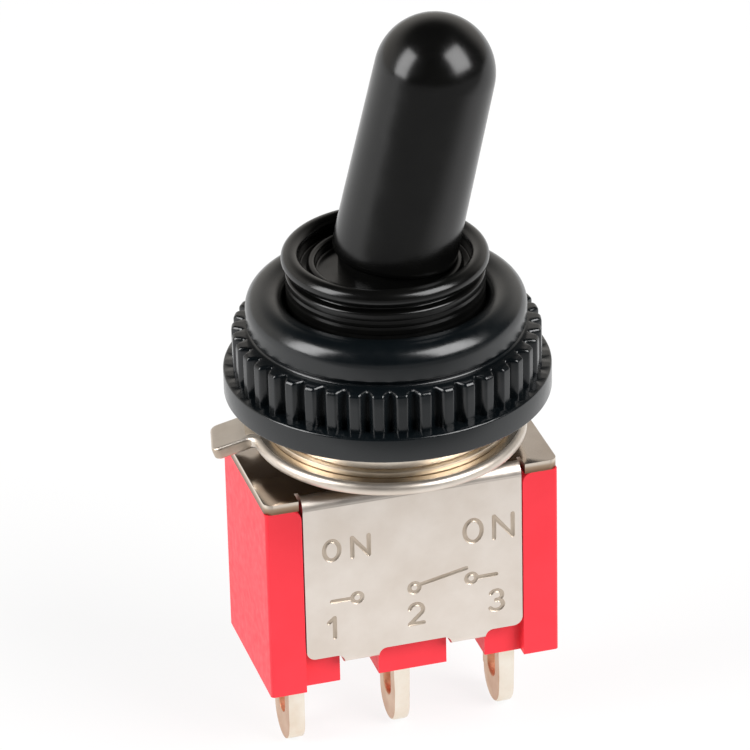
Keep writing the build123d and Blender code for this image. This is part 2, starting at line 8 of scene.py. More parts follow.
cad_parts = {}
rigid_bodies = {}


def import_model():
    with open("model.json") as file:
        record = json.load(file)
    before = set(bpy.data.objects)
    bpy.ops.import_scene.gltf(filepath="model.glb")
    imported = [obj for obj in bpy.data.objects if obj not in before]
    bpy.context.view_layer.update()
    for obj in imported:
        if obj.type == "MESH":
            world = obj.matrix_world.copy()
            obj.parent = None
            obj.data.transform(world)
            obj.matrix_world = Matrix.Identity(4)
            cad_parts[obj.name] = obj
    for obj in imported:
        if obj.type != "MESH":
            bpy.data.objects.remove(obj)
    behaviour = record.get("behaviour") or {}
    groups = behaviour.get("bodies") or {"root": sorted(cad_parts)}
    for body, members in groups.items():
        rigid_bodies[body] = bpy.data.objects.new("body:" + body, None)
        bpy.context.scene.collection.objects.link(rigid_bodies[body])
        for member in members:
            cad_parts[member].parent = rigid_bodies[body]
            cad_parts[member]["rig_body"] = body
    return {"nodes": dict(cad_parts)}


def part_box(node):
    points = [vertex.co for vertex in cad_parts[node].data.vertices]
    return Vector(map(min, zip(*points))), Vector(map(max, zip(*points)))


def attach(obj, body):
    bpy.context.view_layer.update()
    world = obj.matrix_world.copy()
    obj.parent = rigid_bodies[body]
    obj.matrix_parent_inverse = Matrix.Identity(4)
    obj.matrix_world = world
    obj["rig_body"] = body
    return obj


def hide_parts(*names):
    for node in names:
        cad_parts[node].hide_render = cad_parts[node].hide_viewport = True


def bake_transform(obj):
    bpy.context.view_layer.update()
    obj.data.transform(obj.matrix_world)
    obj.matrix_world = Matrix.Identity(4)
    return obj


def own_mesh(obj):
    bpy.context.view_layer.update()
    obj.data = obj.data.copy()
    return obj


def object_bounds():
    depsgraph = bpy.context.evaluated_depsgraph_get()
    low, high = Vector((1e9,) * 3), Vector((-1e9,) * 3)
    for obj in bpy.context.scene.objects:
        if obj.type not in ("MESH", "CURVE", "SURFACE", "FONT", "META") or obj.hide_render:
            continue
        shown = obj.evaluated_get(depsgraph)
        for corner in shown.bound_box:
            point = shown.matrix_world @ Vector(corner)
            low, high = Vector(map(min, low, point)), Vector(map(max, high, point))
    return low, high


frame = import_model()
cad_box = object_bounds()

MM = 0.001

# Camera: where it stands round the switch, in degrees and metres
CAMERA_AZIMUTH = -15.93
CAMERA_ELEVATION = 28.2
CAMERA_ROLL = 1.385
CAMERA_DISTANCE = 0.21566
CAMERA_LENS = 246.3
AIM_RIGHT = -0.6 * MM         # aimed point, beside and above the origin in the picture plane
AIM_UP = 2.99 * MM

ROOM_LIGHT = 0.008
BACKDROP_LIGHT = 0.72
BACKDROP_COLOUR = (1.0, 0.96, 0.9, 1.0)
BACKDROP_DEEP = 0.55          # the backdrop is full where a direction points this far to the rear
BACKDROP_LOW = 0.35           # heights of a direction between which the backdrop fades
BACKDROP_HIGH = 0.8
WINDOW_DISTANCE = 0.5
FLOOR_HALF = 3.0
FLOOR_GLOW = 0.85
FLOOR_DARK = 0.1
FLOOR_START = 24 * MM         # the table fades between these distances in front of the switch
FLOOR_END = 52 * MM

SHEET_T = 0.45                # thickness of the frame's sheet, in millimetres

SHARP = 32.0                  # an edge over this angle stays sharp in the shading, in degrees
BROKEN = 30.0                 # an edge over this angle is broken on a bevelled piece
JOINED = 0.3                  # faces within this angle are joined before that
STRAIGHT = 89.0               # half of a corner's angle, over which it takes no fillet
SAME = 1e-7                   # points closer than this are one, in metres
SLACK = 0.01                  # allowance where sizes are compared, in millimetres


# ---------------------------------------------------------------- mesh helpers

def rounded(corners, closed=True, steps=5):
    """Outline of a section: each corner is (x, z, fillet radius), and its arc is added as points."""
    points = []
    count = len(corners)
    for index, (x, z, radius) in enumerate(corners):
        here = Vector((x, z))
        if radius == 0 or (not closed and index in (0, count - 1)):
            points.append((x, z))
            continue
        back = (Vector(corners[index - 1][:2]) - here).normalized()
        ahead = (Vector(corners[(index + 1) % count][:2]) - here).normalized()
        half = back.angle(ahead) / 2
        if half > math.radians(STRAIGHT):
            points.append((x, z))
            continue
        centre = here + (back + ahead).normalized() * radius / math.sin(half)
        start = here + back * radius / math.tan(half) - centre
        end = here + ahead * radius / math.tan(half) - centre
        for step in range(steps + 1):
            spoke = start.slerp(end, step / steps).normalized() * radius
            points.append(tuple(centre + spoke))
    return points


def quarter_turns(steps):
    """Angles from 0 to a right angle, in radians."""
    return [math.pi / 2 * step / steps for step in range(steps + 1)]


def on_circle(x, z, radius, turn):
    """Point of a circle at an angle in radians."""
    return x + radius * math.cos(turn), z + radius * math.sin(turn)


def finished(name, bm, material, angle=SHARP):
    """Mesh object from a bmesh, smooth but for edges sharper than the angle."""
    bmesh.ops.recalc_face_normals(bm, faces=bm.faces)
    mesh = bpy.data.meshes.new(name)
    bm.to_mesh(mesh)
    bm.free()
    mesh.shade_smooth()
    mesh.set_sharp_from_angle(angle=math.radians(angle))
    mesh.materials.append(material)
    made = bpy.data.objects.new(name, mesh)
    bpy.context.scene.collection.objects.link(made)
    return made


def lathe(name, outline, material, turns, shape=None, angle=SHARP):
    """Turned piece from a closed outline in (radius, z). turns is a count of sides or a list of angles
    in radians, and shape(radius, z, turn) may change the radius; all sizes are in millimetres."""
    if isinstance(turns, int):
        turns = [2 * math.pi * step / turns for step in range(turns)]
    bm = bmesh.new()
    rings = []
    for radius, z in outline:
        if radius == 0:
            rings.append([bm.verts.new((0, 0, z * MM))])
            continue
        ring = []
        for turn in turns:
            reach = (shape(radius, z, turn) if shape else radius) * MM
            ring.append(bm.verts.new((*on_circle(0, 0, reach, turn), z * MM)))
        rings.append(ring)
    for low, high in zip(rings, rings[1:] + rings[:1]):
        skin(bm, low, high)
    return finished(name, bm, material, angle)


def skin(bm, low, high):
    """Faces between two rings; either may be a single pole."""
    count = max(len(low), len(high))
    for index in range(count):
        after = (index + 1) % count
        corners = []
        for ring, order in ((low, (index, after)), (high, (after, index))):
            corners += [ring[0]] if len(ring) == 1 else [ring[k] for k in order]
        if len(set(corners)) > 2:
            bm.faces.new(corners)


def bevelled(node, name, width, slot, segments=2, below=math.inf, first=None, spare=None):
    """Copy of a CAD node's form with its edges broken, which then stands for the node.
    Only edges that lie below the given height are broken, and not those that spare(edge) holds back;
    first(bm) may change the form before that. Sizes are in metres."""
    bm = bmesh.new()
    bm.from_mesh(frame["nodes"][node].data)
    bmesh.ops.remove_doubles(bm, verts=bm.verts, dist=SAME)
    bmesh.ops.dissolve_limit(bm, angle_limit=math.radians(JOINED), verts=bm.verts, edges=bm.edges)
    if first:
        first(bm)
    sharp = [edge for edge in bm.edges if len(edge.link_faces) == 2
             and edge.calc_face_angle() > math.radians(BROKEN)
             and all(vertex.co.z < below for vertex in edge.verts) and not (spare and spare(edge))]
    bmesh.ops.bevel(bm, geom=sharp, offset=width, segments=segments, profile=0.5, affect="EDGES",
                    clamp_overlap=True)
    made = finished(name, bm, MATERIALS[slot])
    weigh_normals(made)
    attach(made, frame["nodes"][node]["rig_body"])
    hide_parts(node)
    return made


def weigh_normals(made):
    """Lets the larger faces lead the shading, so that flat ones stay flat beside a broken edge."""
    weights = made.modifiers.new("weights", "WEIGHTED_NORMAL")
    weights.mode, weights.keep_sharp = "FACE_AREA", True
    settle(made)


def settle(made):
    """Takes the result of a piece's modifiers as its mesh."""
    graph = bpy.context.evaluated_depsgraph_get()
    made.data = bpy.data.meshes.new_from_object(made.evaluated_get(graph))
    made.modifiers.clear()


# ---------------------------------------------------------------- materials

NOISE_LOW = 0.3               # range in which nearly all of a noise's values lie
NOISE_HIGH = 0.7
NOISE_ROUGHNESS = 0.55
RELIEF_DETAIL = 3


def srgb(red, green, blue):
    """Linear colour of an sRGB one given from 0 to 255."""
    parts = [value / 255 for value in (red, green, blue)]
    return tuple(part / 12.92 if part <= 0.04045 else ((part + 0.055) / 1.055) ** 2.4
                 for part in parts) + (1.0,)


def map_range(tree, source, start, end, low, high, kind="LINEAR"):
    """Node that maps a value from the range start to end on to the range low to high."""
    span = tree.nodes.new("ShaderNodeMapRange")
    span.interpolation_type = kind
    for key, value in (("From Min", start), ("From Max", end), ("To Min", low), ("To Max", high)):
        span.inputs[key].default_value = value
    tree.links.new(source, span.inputs["Value"])
    return span.outputs["Result"]


class Surface:
    """A node material, built from a few kinds of texture in object space (metres)."""

    def __init__(self, name, colour, roughness, metallic=0.0):
        self.material = bpy.data.materials.new(name)
        self.material.use_nodes = True
        self.tree = self.material.node_tree
        self.shader = self.tree.nodes["Principled BSDF"]
        self.set(Base_Color=colour, Roughness=roughness, Metallic=metallic)
        self.place = self.tree.nodes.new("ShaderNodeTexCoord").outputs["Object"]

    def set(self, **values):
        """Sets inputs of the shader, with _ for the spaces in their names."""
        for key, value in values.items():
            self.shader.inputs[key.replace("_", " ")].default_value = value
        return self

    def feed(self, source, key):
        self.tree.links.new(source, self.shader.inputs[key])

    def part(self, axis):
        """One coordinate of the place on the piece, in metres."""
        parts = self.tree.nodes.new("ShaderNodeSeparateXYZ")
        self.tree.links.new(self.place, parts.inputs["Vector"])
        return parts.outputs[axis]

    def noise(self, scale, detail, stretch=(1, 1, 1)):
        """Noise, scale in cells per millimetre."""
        mapping = self.tree.nodes.new("ShaderNodeMapping")
        mapping.inputs["Scale"].default_value = [scale * factor / MM for factor in stretch]
        self.tree.links.new(self.place, mapping.inputs["Vector"])
        noise = self.tree.nodes.new("ShaderNodeTexNoise")
        noise.inputs["Scale"].default_value = 1.0
        noise.inputs["Detail"].default_value = detail
        noise.inputs["Roughness"].default_value = NOISE_ROUGHNESS
        self.tree.links.new(mapping.outputs["Vector"], noise.inputs["Vector"])
        return noise.outputs["Fac"]

    def colour(self, source, stops):
        """Colours over a value; stops are (position, colour)."""
        ramp = self.tree.nodes.new("ShaderNodeValToRGB")
        band = ramp.color_ramp
        while len(band.elements) < len(stops):
            band.elements.new(0.5)
        for element, (position, colour) in zip(band.elements, stops):
            element.position = position
            element.color = colour
        self.tree.links.new(source, ramp.inputs["Fac"])
        self.feed(ramp.outputs["Color"], "Base Color")

    def rough(self, source, low, high):
        self.feed(map_range(self.tree, source, NOISE_LOW, NOISE_HIGH, low, high), "Roughness")

    def bump(self, source, height):
        """Relief of a height in millimetres."""
        bump = self.tree.nodes.new("ShaderNodeBump")
        bump.inputs["Strength"].default_value = 1.0
        bump.inputs["Distance"].default_value = height * MM
        self.tree.links.new(source, bump.inputs["Height"])
        self.feed(bump.outputs["Normal"], "Normal")


def mottled(name, tones, roughness, patches, gloss, relief, metallic=0.0, grain=(1, 1, 1), **values):
    """Material that varies a little from place to place. tones are its darkest, middle and lightest
    colour, and roughness is its least, middle and most. patches and gloss are their noises' cells per
    millimetre and detail, and relief is a noise's cells per millimetre and its height in millimetres."""
    dark, middle, light = [srgb(*tone) for tone in tones]
    least, usual, most = roughness
    surface = Surface(name, middle, usual, metallic)
    surface.colour(surface.noise(*patches), [(NOISE_LOW, dark), (NOISE_HIGH, light)])
    surface.rough(surface.noise(*gloss), least, most)
    cells, height = relief
    surface.bump(surface.noise(cells, RELIEF_DETAIL, grain), height)
    return surface.set(**values).material


def cut_edge():
    """Punched edge of the frame's top plate, darker towards its underside."""
    surface = Surface("cut_edge", srgb(190, 170, 148), 0.4, 1.0)
    depth = map_range(surface.tree, surface.part("Z"), -SHEET_T * MM, 0.0, 0.0, 1.0)
    surface.colour(depth, [(0.15, srgb(134, 106, 84)), (0.55, srgb(176, 154, 132)),
                           (0.8, srgb(226, 214, 200))])
    surface.rough(surface.noise(3.0, 4), 0.34, 0.46)
    surface.bump(surface.noise(6.0, RELIEF_DETAIL), 0.001)
    return surface.material


def plain_inner(name, colour, roughness, metallic):
    """Material of a piece that sits inside the switch."""
    surface = Surface(name, colour, roughness, metallic)
    dark = tuple(part * 0.85 for part in colour[:3]) + (1.0,)
    surface.colour(surface.noise(1.5, 4), [(NOISE_LOW, dark), (NOISE_HIGH, colour)])
    surface.rough(surface.noise(4.0, 4), roughness * 0.85, roughness * 1.2)
    surface.bump(surface.noise(12.0, RELIEF_DETAIL), 0.0015)
    return surface.material


LOOKS = {                     # colours are sRGB from 0 to 255
    "red_plastic": dict(
        tones=[(247, 53, 66), (250, 56, 69), (253, 59, 72)], roughness=(0.36, 0.42, 0.5),
        patches=(0.35, 3), gloss=(2.5, 4), relief=(9.0, 0.004), Specular_IOR_Level=0.28),
    "nickel_plate": dict(
        tones=[(223, 212, 201), (229, 219, 209), (234, 225, 216)], roughness=(0.33, 0.34, 0.41),
        patches=(0.5, 5), gloss=(1.5, 4), relief=(4.0, 0.0008), grain=(1, 1, 0.2), metallic=1.0),
    "top_plate": dict(
        tones=[(208, 195, 182), (214, 202, 190), (219, 208, 197)], roughness=(0.13, 0.16, 0.19),
        patches=(0.5, 5), gloss=(1.5, 4), relief=(4.0, 0.0004), metallic=1.0),
    "stamped_plate": dict(
        tones=[(188, 173, 156), (196, 182, 166), (203, 190, 175)], roughness=(0.42, 0.5, 0.55),
        patches=(0.8, 4), gloss=(3.0, 4), relief=(6.0, 0.001), metallic=1.0),
    "washer_plate": dict(
        tones=[(215, 203, 190), (222, 211, 199), (228, 219, 208)], roughness=(0.37, 0.4, 0.45),
        patches=(0.6, 5), gloss=(1.5, 4), relief=(3.0, 0.0006), metallic=0.9),
    "washer_top": dict(
        tones=[(192, 178, 160), (200, 187, 170), (207, 195, 179)], roughness=(0.17, 0.2, 0.23),
        patches=(0.6, 5), gloss=(1.5, 4), relief=(3.0, 0.0005), metallic=1.0),
    # painted shade: dark tone for the washer's underside, in the shade between the washer and the frame's
    # plate
    "washer_underside_shade": dict(
        tones=[(80, 63, 45), (92, 74, 54), (104, 85, 63)], roughness=(0.55, 0.6, 0.65),
        patches=(0.8, 5), gloss=(2.0, 4), relief=(4.0, 0.0008), metallic=0.6),
    "turned_brass": dict(
        tones=[(206, 186, 156), (212, 193, 165), (218, 201, 175)], roughness=(0.36, 0.4, 0.46),
        patches=(0.8, 4), gloss=(1.5, 4), relief=(3.0, 0.0005), metallic=1.0),
    "lock_plate": dict(
        tones=[(215, 198, 174), (222, 206, 184), (229, 214, 194)], roughness=(0.38, 0.42, 0.46),
        patches=(0.8, 4), gloss=(1.5, 4), relief=(3.0, 0.0006), metallic=1.0),
    "plated_brass": dict(
        tones=[(233, 219, 201), (238, 226, 210), (243, 233, 219)], roughness=(0.19, 0.22, 0.26),
        patches=(0.8, 4), gloss=(1.5, 4), relief=(3.0, 0.0005), metallic=0.7),
    # painted reflection: tan, pinkish tone on the solder lugs' wide faces for what they reflect
    "lug_side_reflection": dict(
        tones=[(192, 148, 116), (206, 168, 138), (216, 186, 158)], roughness=(0.32, 0.36, 0.4),
        patches=(0.7, 5), gloss=(1.5, 4), relief=(3.0, 0.001), metallic=1.0),
    "eye_wall": dict(
        tones=[(204, 142, 102), (216, 160, 122), (226, 178, 142)], roughness=(0.45, 0.5, 0.58),
        patches=(1.5, 4), gloss=(3.0, 4), relief=(6.0, 0.001), metallic=0.5),
    "tinned_brass": dict(
        tones=[(230, 216, 196), (238, 228, 212), (244, 238, 226)], roughness=(0.28, 0.33, 0.38),
        patches=(0.7, 5), gloss=(1.5, 4), relief=(3.0, 0.001), grain=(1, 1, 0.3), metallic=1.0),
    "black_plastic": dict(
        tones=[(7, 12, 15), (9, 14, 17), (12, 17, 20)], roughness=(0.19, 0.22, 0.26),
        patches=(0.6, 4), gloss=(2.0, 5), relief=(3.0, 0.0006), Specular_IOR_Level=0.6),
    "black_rubber": dict(
        tones=[(8, 8, 8), (11, 11, 11), (14, 14, 13)], roughness=(0.18, 0.22, 0.25),
        patches=(0.5, 4), gloss=(1.2, 4), relief=(2.0, 0.0006), Specular_IOR_Level=0.45),
}
MATERIALS = {name: mottled(name, **look) for name, look in LOOKS.items()}
MATERIALS.update({
    "cut_edge": cut_edge(),
    "nylon": plain_inner("nylon", srgb(232, 228, 214), 0.45, 0.0),
    "silver": plain_inner("silver", srgb(232, 230, 226), 0.25, 1.0),
    "spring_steel": plain_inner("spring_steel", srgb(170, 172, 176), 0.28, 1.0),
    "resin": plain_inner("resin", srgb(58, 20, 20), 0.3, 0.0),
})
NODE_MATERIALS = {
    "housing": "red_plastic", "frame": "nickel_plate", "bushing": "turned_brass",
    "locating_washer": "washer_plate", "lock_washer": "lock_plate", "nut_insert": "plated_brass",
    "boot_nut": "black_plastic", "boot": "black_rubber", "lever": "nickel_plate", "plunger": "nylon",
    "plunger_spring": "spring_steel", "rocker": "turned_brass",
    "terminal_1": "tinned_brass", "terminal_2": "tinned_brass", "terminal_3": "tinned_brass",
    "moving_contact_1": "silver", "moving_contact_3": "silver",
    "fixed_contact_1": "silver", "fixed_contact_3": "silver",
    "terminal_seal_1": "resin", "terminal_seal_2": "resin", "terminal_seal_3": "resin",
}


def dress_nodes():
    """Gives each of the CAD's nodes its material."""
    for name, node in frame["nodes"].items():
        node.data.materials.clear()
        node.data.materials.append(MATERIALS[NODE_MATERIALS[name]])


# ---------------------------------------------------------------- boot nut

HUB_R = 4.3                   # sizes of the boot nut, in millimetres
NUT_BASE_Z = 3.0
INSERT_TOP_Z = 5.3
FLANGE_R = 6.85
FLANGE_TOP_Z = 4.1
FLANGE_FOOT_ROUND = 0.08
FLANGE_ROUND = 0.1
FLUTE_COUNT = 41
FLUTE_R = 6.45
FLUTE_DEPTH = 0.46
FLUTE_MOUTH = 0.54            # width of a groove at the tooth tops
FLUTE_EASE = 0.14             # rounding at the mouth of a groove
FLUTE_STEP = 0.6              # from the teeth's ends to the next ring
FLUTE_STATIONS = (0.1, 0.2, 0.4, 0.54, 0.6, 0.64, 0.68, 0.72, 0.8)   # shares of half a pitch
GROOVE_R = FLUTE_R - FLUTE_DEPTH      # at the grooves' roots
GRIP_R = GROOVE_R - 0.1       # the nut is round inside this
GRIP_FOOT_R = GROOVE_R - 0.15
GRIP_HEAD_R = GROOVE_R - 0.12
LEDGE_Z = 5.88                # flat on top of the teeth
LEDGE_EDGE = 0.18
LEDGE_STEPS = 4
RELIEF_R = 5.6                # undercut between the ledge and the dome's foot
RELIEF_ROUND = 0.1
DOME_R = 5.85
DOME_FOOT_Z = 6.2
DOME_FOOT_ROUND = 0.05
CROWN_Z = 6.75
CROWN_R = 0.85
CROWN_STEPS = 24
THROAT_R = 4.25
BOOT_FLANGE_R = 4.96
BOOT_FLANGE_TOP_Z = 6.16


def groove_reach(turn):
    """Distance from the axis of the grip's wall at an angle: tooth top or V groove."""
    pitch = 2 * math.pi / FLUTE_COUNT
    off = abs((turn + pitch / 2) % pitch - pitch / 2) * FLUTE_R
    wall = FLUTE_R - FLUTE_DEPTH * (1 - off / (FLUTE_MOUTH / 2))
    return max(soft_min(wall, FLUTE_R, FLUTE_EASE), GROOVE_R + FLUTE_EASE / 3)


def soft_min(a, b, ease):
    """Smaller of two values, rounded where they meet."""
    near = max(ease - abs(a - b), 0) / ease
    return min(a, b) - near * near * ease / 4


def grip(radius, z, turn):
    """Cuts the flutes into the turned outline of the nut."""
    if FLANGE_TOP_Z - SLACK <= z <= LEDGE_Z + SLACK and radius > GRIP_R:
        return min(radius, groove_reach(turn) - (FLUTE_R - radius))
    return radius


def boot_nut():
    """Moulded nut: flange, fluted grip, rolled shoulder and the throat that holds the boot."""
    outline = rounded([(HUB_R, NUT_BASE_Z, 0), (FLANGE_R, NUT_BASE_Z, FLANGE_FOOT_ROUND),
                       (FLANGE_R, FLANGE_TOP_Z, FLANGE_ROUND), (GRIP_FOOT_R, FLANGE_TOP_Z, 0)],
                      closed=False)
    outline += [(FLUTE_R, z) for z in (FLANGE_TOP_Z, FLANGE_TOP_Z + FLUTE_STEP, LEDGE_Z - FLUTE_STEP)]
    outline += [on_circle(FLUTE_R - LEDGE_EDGE, LEDGE_Z - LEDGE_EDGE, LEDGE_EDGE, turn)
                for turn in quarter_turns(LEDGE_STEPS)]
    outline += rounded([(GRIP_HEAD_R, LEDGE_Z, 0), (RELIEF_R, LEDGE_Z, RELIEF_ROUND),
                        (DOME_R, DOME_FOOT_Z, DOME_FOOT_ROUND), (DOME_R, CROWN_Z, 0)], closed=False)
    crown_middle = DOME_R - CROWN_R
    end = math.acos((THROAT_R - crown_middle) / CROWN_R)
    for step in range(1, CROWN_STEPS + 1):
        outline.append(on_circle(crown_middle, CROWN_Z, CROWN_R, end * step / CROWN_STEPS))
    outline += [(THROAT_R, BOOT_FLANGE_TOP_Z), (BOOT_FLANGE_R, BOOT_FLANGE_TOP_Z),
                (BOOT_FLANGE_R, INSERT_TOP_Z), (HUB_R, INSERT_TOP_Z)]
    pitch = 2 * math.pi / FLUTE_COUNT
    stations = [0.0, 1.0, *FLUTE_STATIONS] + [2 - station for station in FLUTE_STATIONS]
    turns = sorted(pitch * (tooth + station / 2) for tooth in range(FLUTE_COUNT) for station in stations)
    nut = lathe("boot_nut_shell", outline, MATERIALS["black_plastic"], turns, shape=grip, angle=50.0)
    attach(nut, "base")
    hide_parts("boot_nut")


# ---------------------------------------------------------------- rubber boot

NECK_R = 4.14                 # sizes of the boot, in millimetres
BEAD_R = 3.92
BEAD_SECTION_R = 0.385
BEAD_Z = 9.0
BEAD_SWEEP = 255.0            # degrees of its section's circle, from the inside over the top
BEAD_STEPS = 28
BEAD_FOOT = 0.34              # from the bead's middle down to the undercut
UNDERCUT_R = 3.85             # groove under the bead
UNDERCUT_Z = 8.46
UNDERCUT_ROUND = 0.08
FOLD_R = 3.06                 # small inner fold of the web
FOLD_HALF = 0.17
FOLD_TOP_Z = 8.88
FOLD_ROUND = 0.14
FOLD_DEPTH = 0.3              # down to the channel between the fold and the bead
FOLD_FOOT_ROUND = 0.04
CHANNEL_ROUND = 0.06
WEB_Z = 8.4
WEB_UNDER_Z = 8.12
WEB_ROUND = 0.2
WEB_BORE_R = 1.75
BORE_R = 3.35
RIDGES = (7.45, 7.8, 8.1)     # heights of the neck's ridges
RIDGE_DEPTH = 0.035
RIDGE_DROP = 0.03             # from a ridge to the groove under it
RIDGE_RUN = 0.17              # and to where the neck is full again
RIDGE_ROUND = 0.02
RIDGE_FOOT_ROUND = 0.03
CLAMP_GAP = 0.06              # between the boot's flange and the nut round it
NECK_STEP = 0.06              # from the undercut down to the full neck
CORNER = 0.1                  # usual fillet
BEND_Z = 7.5                  # where the finger's axis meets the neck's
LEAN = 13.6
ROOT_R = 2.3
ROOT_FLARE = 0.02             # by which the root widens up to the foot
ROOT_ROUND = 0.12
ROOT_END = 0.8                # distances along the finger from its bend: lower end,
FOOT_START = 1.53             # underside of the foot,
FOOT_END = 2.15               # and its top, where the lean is full and the taper begins
FOOT_R = 2.6
FOOT_ROUND = 0.28
TIP_R = 2.49
DOME = 9.7                    # where the domed end begins, also along the finger
FINGER_BORE_R = 1.68
FINGER_STEPS = 24
DOME_STEPS = 20
BORE_STEPS = 10


def boot_collar():
    """Clamped flange, ridged neck, rolled bead, and the web with its fold."""
    channel_z = FOLD_TOP_Z - FOLD_DEPTH
    bead_inner = BEAD_R - BEAD_SECTION_R
    fold_inner, fold_outer = FOLD_R - FOLD_HALF, FOLD_R + FOLD_HALF
    outline = rounded([(WEB_BORE_R, WEB_Z, 0), (fold_inner, WEB_Z, CORNER),
                       (fold_inner, FOLD_TOP_Z, FOLD_ROUND), (fold_outer, FOLD_TOP_Z, FOLD_ROUND),
                       (fold_outer, channel_z, FOLD_FOOT_ROUND), (bead_inner, channel_z, CHANNEL_ROUND),
                       (bead_inner, BEAD_Z, 0)], closed=False)
    for step in range(1, BEAD_STEPS):
        turn = math.pi - step / BEAD_STEPS * math.radians(BEAD_SWEEP)
        outline.append(on_circle(BEAD_R, BEAD_Z, BEAD_SECTION_R, turn))
    neck = [(UNDERCUT_R, BEAD_Z - BEAD_FOOT, 0), (UNDERCUT_R, UNDERCUT_Z, UNDERCUT_ROUND),
            (NECK_R, UNDERCUT_Z - NECK_STEP, CORNER)]
    for z in reversed(RIDGES):
        neck += [(NECK_R, z, RIDGE_ROUND), (NECK_R - RIDGE_DEPTH, z - RIDGE_DROP, RIDGE_FOOT_ROUND),
                 (NECK_R, z - RIDGE_RUN, CORNER)]
    flange_r = BOOT_FLANGE_R - CLAMP_GAP
    top, foot = BOOT_FLANGE_TOP_Z - CLAMP_GAP, INSERT_TOP_Z + CLAMP_GAP
    neck += [(NECK_R, top, 0), (flange_r, top, CORNER), (flange_r, foot, CORNER), (BORE_R, foot, CORNER),
             (BORE_R, WEB_UNDER_Z, WEB_ROUND), (WEB_BORE_R, WEB_UNDER_Z, 0)]
    outline += rounded(neck, closed=False)
    collar = lathe("boot_collar", outline, MATERIALS["black_rubber"], 256, angle=45.0)
    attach(collar, "base")
    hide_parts("boot")


def boot_finger():
    """Leaning finger over the lever: rounded foot, slight taper, domed end and a bore."""
    outline = rounded([(FINGER_BORE_R, ROOT_END, 0), (ROOT_R, ROOT_END, 0),
                       (ROOT_R + ROOT_FLARE, FOOT_START, ROOT_ROUND), (FOOT_R, FOOT_START, FOOT_ROUND),
                       (FOOT_R, FOOT_END, 0)], closed=False, steps=8)
    shares = [step / FINGER_STEPS for step in range(1, FINGER_STEPS)]
    outline += [(FOOT_R + (TIP_R - FOOT_R) * share, FOOT_END + (DOME - FOOT_END) * share)
                for share in shares]
    outline += dome(TIP_R, DOME_STEPS)
    outline += reversed(dome(FINGER_BORE_R, BORE_STEPS))
    outline += [(FINGER_BORE_R, DOME + (ROOT_END - DOME) * share) for share in shares]
    finger = lathe("boot_finger", outline, MATERIALS["black_rubber"], 192, angle=60.0)
    for vertex in finger.data.vertices:
        vertex.co = leaned(vertex.co)
    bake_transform(finger)
    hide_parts("boot")


def leaned(point):
    """Point of the upright finger, moved on to its axis: level at the root, leaning from the foot up."""
    along = point.z / MM
    lean = math.radians(LEAN)
    share = min(max((along - ROOT_END) / (FOOT_END - ROOT_END), 0.0), 1.0)
    turn = lean * share
    reach = (FOOT_END - ROOT_END) / lean
    x = FOOT_END * math.sin(lean) - reach * (math.cos(turn) - math.cos(lean))
    z = BEND_Z + FOOT_END * math.cos(lean) - reach * (math.sin(lean) - math.sin(turn))
    rest = max(along - FOOT_END, 0.0)
    x, z = x + rest * math.sin(lean), z + rest * math.cos(lean)
    return Vector((x * MM + point.x * math.cos(turn), point.y, z * MM - point.x * math.sin(turn)))


def dome(radius, steps):
    """Quarter circle of the finger's dome or of its bore's end, from the side to the pole."""
    arc_points = [on_circle(0, DOME, radius, turn) for turn in quarter_turns(steps)]
    return arc_points[:-1] + [(0, DOME + radius)]


# ---------------------------------------------------------------- metal parts and base

BASE_EDGE = 0.05              # widths of the broken edges, in millimetres
FRAME_EDGE = 0.05
SOLDER_EDGE = 0.12
SOLDER_TOP_Z = -9.0           # the solder lugs' edges are broken below this
BEND_R = 0.55                 # bends of the frame's legs
BEND_STEPS = 14
LEG_HALF = 4.75
RELIEF_WIDTH = 0.22           # narrow cuts beside the legs
EYE_HALF = 0.6                # a little more than the lugs' eyes: half width, foot and top from the tip
EYE_FOOT = 1.0
EYE_TOP = 3.4
FLAT = 0.99                   # how much of a normal points up where a face lies flat,
NEARLY_FLAT = 0.9             # nearly so,
SLOPING = 0.5                 # slopes
STANDING = 0.3                # and stands
ACROSS = 0.8                  # how much of a normal points across a solder lug on its wide faces

WASHER_R = 5.8                # sizes of the washers, in millimetres
WASHER_T = 0.55
WASHER_EDGE = 0.25            # rounding of the rim
LUG_EDGE = 0.12               # and of the lug
EDGE_STEPS = 6
WASHER_BORE_R = 3.25
KEY_AZIMUTH = 167.0
KEY_HALF = 0.6
KEY_TIP = 2.78
LUG_HALF = 1.075
LUG_TIP = 7.6                 # from the axis, before the lug is bent
LUG_CORNER_R = 0.34
LUG_ROOT_R = 0.5              # hollow corner between the rim and the lug
LUG_BEND = 19.0               # degrees
LUG_BEND_FROM = 5.55
LUG_BEND_OVER = 0.5           # length of the bend
LEAST_BEND = 1e-6             # radians, under which nothing is bent
TIP_SHARES = (0, 0.25, 0.5)   # points of the lug's end, as shares of its half width
LUG_STEPS = 16                # along the lug's side, round its hollow corner and round the rim
HOLLOW_STEPS = 8
RIM_STEPS = 150
FLAT_SHARES = (0.35, 0.7, 0.8, 0.86, 0.92, 0.97)     # of the way from the bore to the flat's edge
LOCK_R = 5.18
LOCK_T = 0.27
LOCK_EDGE = 0.05
LOCK_RIM_R = 4.2
LOCK_TEETH = 10
LOCK_TOOTH_HALF = 5.5         # degrees, like the two below: of a tooth, over its flank,
LOCK_FLANK = 0.2
LOCK_STATIONS = (0, 9, 13, 18, 23, 27)               # and of a pitch's other points
COLLAR_R = 4.95
COLLAR_EDGE = 0.08
INSERT_BORE_R = 3.2


